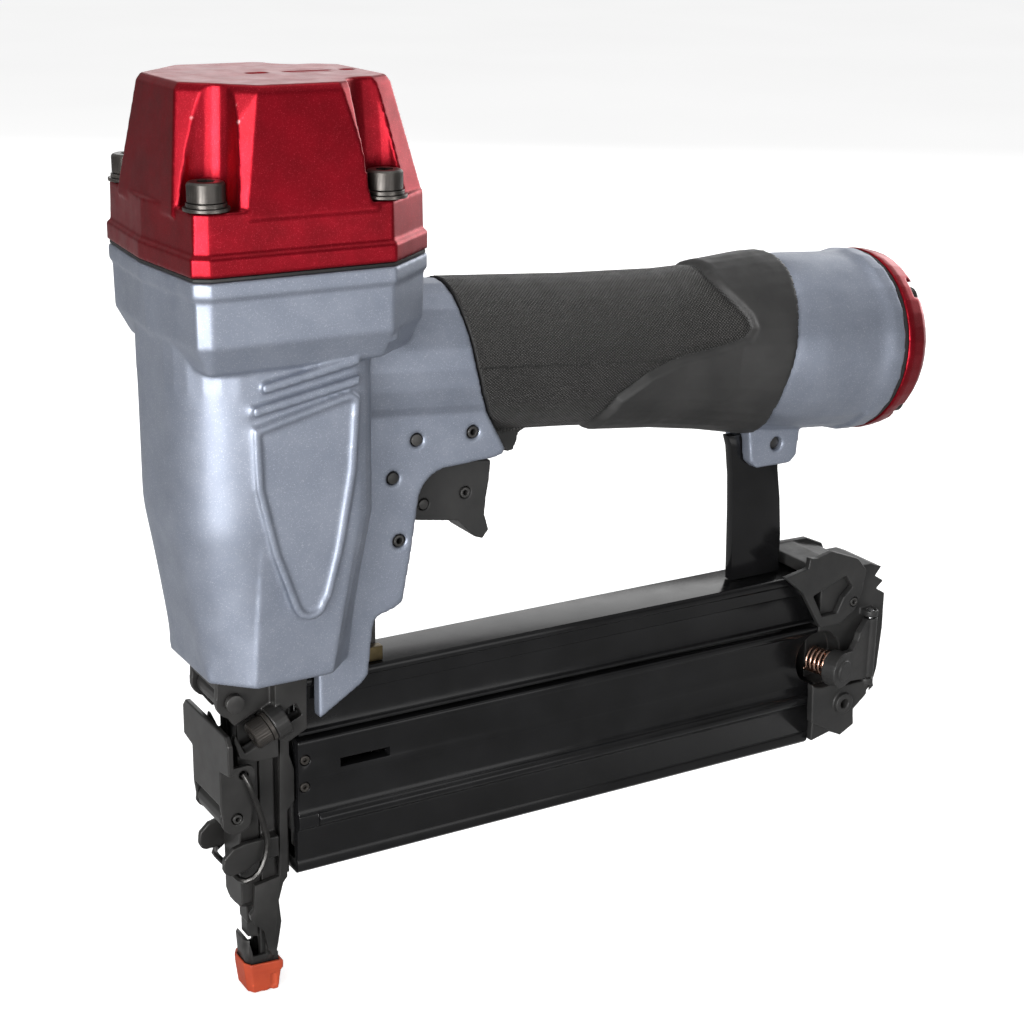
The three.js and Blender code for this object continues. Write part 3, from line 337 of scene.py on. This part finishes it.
def relax(mesh, rounds, weight):
    """Averages each vertex with its neighbours, as far as its own weight says."""
    count = len(mesh.vertices)
    co = np.zeros(count * 3)
    mesh.vertices.foreach_get("co", co)
    co = co.reshape(-1, 3)
    edges = np.zeros(len(mesh.edges) * 2, int)
    mesh.edges.foreach_get("vertices", edges)
    a, b = edges.reshape(-1, 2).T
    share = np.bincount(a, minlength=count) + np.bincount(b, minlength=count)
    w = weight(co / MM)[:, None]
    for _ in range(rounds):
        total = np.stack([np.bincount(a, co[b, k], count) + np.bincount(b, co[a, k], count)
                          for k in range(3)], 1)
        co = co + (total / np.maximum(share, 1)[:, None] - co) * 0.5 * w
    mesh.vertices.foreach_set("co", co.ravel())
    mesh.update()


def rounding(target, grid, rounds):
    """Modifier steps that remesh an even skin onto the target and round its edges."""
    return [("REMESH", {"mode": "VOXEL", "voxel_size": grid * MM}),
            ("SHRINKWRAP", {"target": target, "wrap_method": "NEAREST_SURFACEPOINT"}),
            ("SMOOTH", {"factor": 0.5, "iterations": rounds})]


def cast(node, material, grid, rounds, keep=1.0, plugs=(), blur=0, blur_where=None):
    """The node with every edge rounded like a casting or moulding."""
    source = frame["nodes"][node]
    shape = plugged(source, plugs) if plugs else source
    thing = with_modifiers(node + "_skin", shape, material, rounding(shape, grid, rounds))
    if blur:
        relax(thing.data, blur, blur_where)
    if keep < 1.0:
        thin = thing.modifiers.new("thin", "DECIMATE")
        thin.ratio = keep
        apply_modifiers(thing, material)
    if shape is not source:
        bpy.data.objects.remove(shape)
    thing.data.shade_smooth()
    return place(thing, node)


SHARP = math.radians(40.0)


def machined(node, material, edge):
    """The node with small even chamfers, and smooth shading on its round faces."""
    source = frame["nodes"][node]
    mesh = source.data.copy()
    work = bmesh.new()
    work.from_mesh(mesh)
    bmesh.ops.remove_doubles(work, verts=work.verts, dist=1e-6)
    bmesh.ops.dissolve_limit(work, angle_limit=math.radians(1.0), verts=work.verts, edges=work.edges)
    work.to_mesh(mesh)
    work.free()
    thing = new_object(node + "_skin", mesh, material)
    bevel = thing.modifiers.new("edge", "BEVEL")
    bevel.width, bevel.segments = edge * MM, 2
    bevel.limit_method, bevel.angle_limit = "ANGLE", SHARP
    bevel.use_clamp_overlap = True
    result = apply_modifiers(thing, material)
    result.shade_smooth()
    result.set_sharp_from_angle(angle=SHARP)
    return place(thing, node)


def repaint_nodes():
    """Gives the CAD nodes themselves the same finishes."""
    for name, thing in frame["nodes"].items():
        for slot in thing.material_slots:
            slot.link = "OBJECT"
            slot.material = FINISH.get(SLOT_OF.get(name), GUNMETAL)


repaint_nodes()
SCREW_NODES = [f"cap_screw_{i}" for i in (1, 2, 3, 4)]
SCREW_PLACES = [tuple((sum(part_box(n), Vector()) / 2).xy / MM) for n in SCREW_NODES]


def fade_in(value, start, width):
    return np.clip((value - start) / width, 0, 1)


def fade_out(value, end, width):
    return np.clip((end - value) / width, 0, 1)


def round_parts(co):
    """Weight on the housing's round walls: the tube behind the grip and the cylinder's front corners."""
    x, y, z = co.T
    tube = fade_in(x, 128, 6) * fade_out(x, 184.5, 2.5) * (z > 139)
    corner = fade_out(x, -8.5, 2.5) * fade_in(z, 97, 5) * fade_out(z, 169, 4)
    outside_bore = np.hypot(x, y) > 19.5
    return np.maximum(tube * 0.6, corner * outside_bore)


def screw_plugs(low, high):
    return [(x, y, low, high, 3.3) for x, y in SCREW_PLACES]


cast("housing", SILVER, 0.6, 4, 0.5, screw_plugs(178, 196), 70, round_parts)
cast("cylinder_cap", RED, 0.45, 4, 0.5, screw_plugs(197.4, 211.2))
cast("end_cap", RED, 0.45, 3, 0.6)
for name in ("magazine_guard", "cover_end_block", "release_lever", "trigger"):
    cast(name, PLASTIC, 0.32, 3, 0.5)
for name in ("nose_body", "nose_door", "door_latch"):
    cast(name, NOSE, 0.3, 3, 0.5)
machined("contact_arm", NOSE, 0.15)
cast("nose_pad", ORANGE, 0.3, 2, 0.5)
for name in ("magazine_rail", "magazine_cover", "magazine_strap"):
    machined(name, BLACK, 0.25)
machined("cap_gasket", SEAL, 0.15)
machined("end_cap_gasket", SEAL, 0.15)


# ---------------------------------------------------------------- screws and springs

def revolve(work, profile, facets, flute=0.0, fluted=(0.0, 0.0)):
    """Spins (radius, height) points round Z, with flutes of that depth between the fluted heights."""
    rings = []
    for r, z in profile:
        ring = []
        for i in range(facets):
            reach = r - (flute if i % 2 and fluted[0] <= z <= fluted[1] else 0.0)
            angle = 2 * math.pi * i / facets
            ring.append(work.verts.new((reach * math.cos(angle) * MM, reach * math.sin(angle) * MM, z * MM)))
        rings.append(ring)
    for low, high in zip(rings[:-1], rings[1:]):
        for i in range(facets):
            j = (i + 1) % facets
            work.faces.new((low[i], low[j], high[j], high[i]))
    work.faces.new(rings[0][::-1])
    return rings[-1]


def knurled_screw(node, foot, axis, r, h, washers):
    """Socket screw with a fluted head, hexagon socket, spring washer and flat washer."""
    work = bmesh.new()
    facets = 72
    profile = [(r * 0.6, -4.0), (r * 0.6, -0.3), (r * 0.92, 0.0), (r, 0.25), (r, h - 0.75),
               (r * 0.985, h - 0.45), (r * 0.9, h - 0.08), (r * 0.84, h), (r * 0.66, h)]
    rim = revolve(work, profile, facets, 0.16, (0.3, h - 0.6))
    sides = 6
    socket = []
    for depth in (0.0, h * 0.55):
        ring = []
        for i in range(facets):
            angle = 2 * math.pi * i / facets
            wedge = (angle % (2 * math.pi / sides)) - math.pi / sides
            reach = r * 0.52 * math.cos(math.pi / sides) / math.cos(wedge)
            x, y = reach * math.cos(angle) * MM, reach * math.sin(angle) * MM
            ring.append(work.verts.new((x, y, (h - depth) * MM)))
        socket.append(ring)
    for low, high in zip([rim, socket[0]], socket):
        for i in range(facets):
            j = (i + 1) % facets
            work.faces.new((low[i], low[j], high[j], high[i]))
    work.faces.new(socket[-1])
    for low, high, reach in washers:
        section = [(reach * 0.62, low), (reach - 0.12, low), (reach, low + 0.12),
                   (reach, high - 0.12), (reach - 0.12, high)]
        work.faces.new(revolve(work, section, 48))
    mesh = bpy.data.meshes.new(node + "_detail")
    work.to_mesh(mesh)
    work.free()
    turn = Vector(axis).to_track_quat("Z", "Y").to_matrix().to_4x4()
    mesh.transform(Matrix.Translation(Vector(foot) * MM) @ turn)
    mesh.shade_smooth()
    mesh.set_sharp_from_angle(angle=math.radians(32))
    return place(new_object(node + "_detail", mesh, OXIDE), node)


def coil(node, start, end, turns, r, wire):
    """A round-wire helix about the line between two points, its wire ends closed flat."""
    start, end = Vector(start) * MM, Vector(end) * MM
    axis = (end - start).normalized()
    side = axis.orthogonal().normalized()
    other = axis.cross(side)
    work = bmesh.new()
    steps, around = int(turns * 32), 8
    rings, path = [], []
    for i in range(steps + 1):
        t = i / steps
        angle = 2 * math.pi * turns * t
        path.append(start.lerp(end, t) + (side * math.cos(angle) + other * math.sin(angle)) * r * MM)
    for i, p in enumerate(path):
        ahead = (path[min(i + 1, steps)] - path[max(i - 1, 0)]).normalized()
        outward = (p - start - axis * (p - start).dot(axis)).normalized()
        third = ahead.cross(outward).normalized()
        rings.append([work.verts.new(p + (outward * math.cos(2 * math.pi * k / around)
                                          + third * math.sin(2 * math.pi * k / around)) * wire * MM)
                      for k in range(around)])
    for low, high in zip(rings[:-1], rings[1:]):
        for k in range(around):
            m = (k + 1) % around
            work.faces.new((low[k], low[m], high[m], high[k]))
    work.faces.new(rings[0][::-1])
    work.faces.new(rings[-1])
    bmesh.ops.recalc_face_normals(work, faces=work.faces)
    mesh = bpy.data.meshes.new(node + "_coil")
    work.to_mesh(mesh)
    work.free()
    mesh.shade_smooth()
    return place(new_object(node + "_coil", mesh, COPPER), node)


HANDLE_Z, DROOP = 169.9 * MM, math.radians(4.2)     # the handle's axis at x = 0, and its fall to the rear
UNDER_CAP_HEADS = 213.3
CAP_WASHERS = [(-1.8, -1.0, 5.3), (-0.98, 0.0, 4.6)]
for name, (x, y) in zip(SCREW_NODES, SCREW_PLACES):
    knurled_screw(name, (x, y, UNDER_CAP_HEADS), (0, 0, 1), 4.3, 4.6, CAP_WASHERS)

NOSE_SCREW_OUT, NOSE_HEAD = Vector((-0.917, 0, -0.398)), 4.5
for name, side in (("nose_screw_near", 1), ("nose_screw_far", -1)):
    foot = Vector((-5.6, -10.8 * side, 76.9)) - NOSE_SCREW_OUT * NOSE_HEAD
    knurled_screw(name, foot, NOSE_SCREW_OUT, 3.7, NOSE_HEAD, [(-1.1, 0.0, 4.0)])

END_CAP_SCREWS, END_HEAD = [f"end_cap_screw_{i}" for i in (1, 2, 3, 4)], 3.6
for name in END_CAP_SCREWS:
    axis = Vector((math.cos(DROOP), 0, -math.sin(DROOP)))
    low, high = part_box(name)
    middle = (low + high) / 2 / MM
    far = max((v.co.dot(axis) for v in frame["nodes"][name].data.vertices)) / MM
    foot = middle + axis * (far - END_HEAD - middle.dot(axis))
    knurled_screw(name, foot, axis, 3.4, END_HEAD, [])

DETAILED = {"nose_screw_near", "nose_screw_far", "nose_body", "nose_door", "door_latch", "contact_arm"}
DETAILED |= {*SCREW_NODES, *END_CAP_SCREWS}
DARKER = {"arm_guide": AGED, "wire_bail": WIRE, "cover_screw_1": OXIDE, "cover_screw_2": OXIDE}
for name in [n for n in frame["nodes"] if SLOT_OF.get(n) in ("gunmetal", "steel", "brass")]:
    if name not in DETAILED:
        machined(name, DARKER.get(name, FINISH[SLOT_OF[name]]), 0.12)
coil("release_spring", (177.6, -4.2, 59.8), (180.3, -11.4, 59.3), 5.5, 3.6, 0.42)


# ---------------------------------------------------------------- grip

# The front edge of the raised band at the grip's rear, as (x, z) in mm, from top to bottom.
# Nine of the fourteen are as a measuring script printed them for spots picked in the photo.
BAND = [(133, 186), (133, 182), (131.8, 181.3), (132.8, 178.7), (135.3, 175.1), (137.9, 171.4),
        (138.6, 168.1), (136.3, 165.1), (128, 163), (115.3, 161.1), (106.4, 157.7), (98.8, 152.1),
        (96.2, 145.7), (96.9, 138)]
GRIP_RADIUS = 19.5                                  # mm, for the knurl's spacing round the handle


def band_distance(x, z):
    """Distance in mm from the raised band's edge, positive inside the band."""
    points = np.array(BAND)
    at = np.stack([x, z], 1)
    best = np.full(len(x), 1e9)
    side = np.zeros(len(x))
    for a, b in zip(points[:-1], points[1:]):
        d = b - a
        t = np.clip(((at - a) @ d) / (d @ d), 0, 1)
        near = a + t[:, None] * d
        gap = np.linalg.norm(at - near, axis=1)
        cross = d[0] * (at[:, 1] - a[1]) - d[1] * (at[:, 0] - a[0])
        closer = gap < best
        best = np.where(closer, gap, best)
        side = np.where(closer, np.sign(cross), side)
    return best * side


def make_grip():
    """The grip with a raised band at its rear, a groove along the band, and a knurled front."""
    source = frame["nodes"]["grip_sleeve"]
    steps = rounding(source, 0.55, 4)
    grip = with_modifiers("grip_sleeve_skin", source, RUBBER, steps)
    mesh = grip.data
    count = len(mesh.vertices)
    co = np.zeros(count * 3)
    normal = np.zeros(count * 3)
    mesh.vertices.foreach_get("co", co)
    mesh.vertices.foreach_get("normal", normal)
    co, normal = co.reshape(-1, 3), normal.reshape(-1, 3)
    axis_z = HANDLE_Z - co[:, 0] * math.tan(DROOP)
    spin = np.arctan2(co[:, 2] - axis_z, co[:, 1])
    radial = np.stack([np.zeros(count), np.cos(spin), np.sin(spin)], 1)
    outward = np.clip((normal * radial).sum(1), 0, 1)
    distance = band_distance(co[:, 0] / MM, co[:, 2] / MM)
    raised = np.clip(distance / 1.5 + 0.5, 0, 1)
    raised = raised * raised * (3 - 2 * raised)
    groove = np.exp(-((distance + 1.3) / 0.9) ** 2)
    lift = (raised * 1.2 - 0.5 - 0.7 * groove) * (outward > 0.5)
    co = co + normal * lift[:, None] * MM
    mesh.vertices.foreach_set("co", co.ravel())
    knurled = np.clip(-distance / 0.8 - 1.0, 0, 1) * (outward > 0.5)
    for name, value in (("knurl", knurled), ("wrap", spin * GRIP_RADIUS * MM)):
        layer = mesh.attributes.new(name, "FLOAT", "POINT")
        layer.data.foreach_set("value", value.astype(np.float32))
    mesh.shade_smooth()
    mesh.update()
    return place(grip, "grip_sleeve")


make_grip()


# ---------------------------------------------------------------- setting

def make_floor():
    """A pale sheet. The camera sees it white, and the tool sees it as a greyer table."""
    mesh = bpy.data.meshes.new("floor")
    half = 14.0
    corners = [(-half, -half, 0), (half, -half, 0), (half, half, 0), (-half, half, 0)]
    mesh.from_pydata(corners, [], [(0, 1, 2, 3)])
    n = Nodes("floor")
    tone = n.mix(n.vary(400.0, 3.0), (0.80, 0.80, 0.80), (0.84, 0.84, 0.84))
    seen = n.add("ShaderNodeLightPath").outputs["Is Camera Ray"]
    n.finish(n.mix(seen, (0.45, 0.45, 0.45), tone), Roughness=0.9, Specular_IOR_Level=0.1)
    n.shader.inputs["Emission Color"].default_value = (1.0, 1.0, 1.0, 1.0)
    n.link(n.math("MULTIPLY", seen, 0.5), n.shader.inputs["Emission Strength"])
    floor = new_object("floor", mesh, n.material)
    floor.location.z = -0.0002


def make_light(name, size, power, place, target):
    data = bpy.data.lights.new(name, "AREA")
    data.shape, data.size, data.size_y = "RECTANGLE", size[0], size[1]
    data.energy = power
    light = bpy.data.objects.new(name, data)
    scene.collection.objects.link(light)
    light.location = place
    light.visible_camera = False
    light.rotation_mode = "QUATERNION"
    light.rotation_quaternion = (Vector(target) - Vector(place)).to_track_quat("-Z", "Y")


def make_world():
    """Dim at the horizon and brighter overhead, white where the camera looks past the floor."""
    world = bpy.data.worlds.new("studio")
    scene.world = world
    world.use_nodes = True
    tree = world.node_tree
    background = tree.nodes["Background"]
    coords = tree.nodes.new("ShaderNodeTexCoord")
    split = tree.nodes.new("ShaderNodeSeparateXYZ")
    fade = tree.nodes.new("ShaderNodeMapRange")
    path = tree.nodes.new("ShaderNodeLightPath")
    brighter = tree.nodes.new("ShaderNodeMath")
    brighter.operation = "MAXIMUM"
    tree.links.new(coords.outputs["Generated"], split.inputs["Vector"])
    tree.links.new(split.outputs["Z"], fade.inputs["Value"])
    for key, number in (("From Min", -0.1), ("From Max", 0.8), ("To Min", 0.07), ("To Max", 0.6)):
        fade.inputs[key].default_value = number
    tree.links.new(fade.outputs["Result"], brighter.inputs[0])
    tree.links.new(path.outputs["Is Camera Ray"], brighter.inputs[1])
    tree.links.new(brighter.outputs["Value"], background.inputs["Strength"])
    background.inputs["Color"].default_value = (1.0, 1.0, 1.0, 1.0)


make_floor()
make_world()
CENTRE = (0.08, 0.0, 0.12)
make_light("left_front_box", (0.3, 0.9), 15.0, (-1.02, -0.72, 0.28), CENTRE)
make_light("low_left_panel", (0.5, 0.6), 10.0, (-0.52, -0.56, 0.02), (-0.02, 0.0, 0.16))
make_light("low_front_panel", (0.7, 0.4), 2.2, (0.12, -0.75, 0.02), CENTRE)
make_light("front_box", (1.0, 0.6), 0.3, (0.45, -1.3, 0.5), CENTRE)
make_light("top_box", (1.2, 0.8), 4.0, (0.15, 0.1, 1.3), CENTRE)
make_light("back_box", (1.2, 0.6), 3.6, (0.8, 1.25, 0.62), CENTRE)
make_light("right_box", (0.8, 0.7), 7.0, (1.2, 0.35, 0.42), CENTRE)
scene.view_settings.view_transform = "Standard"
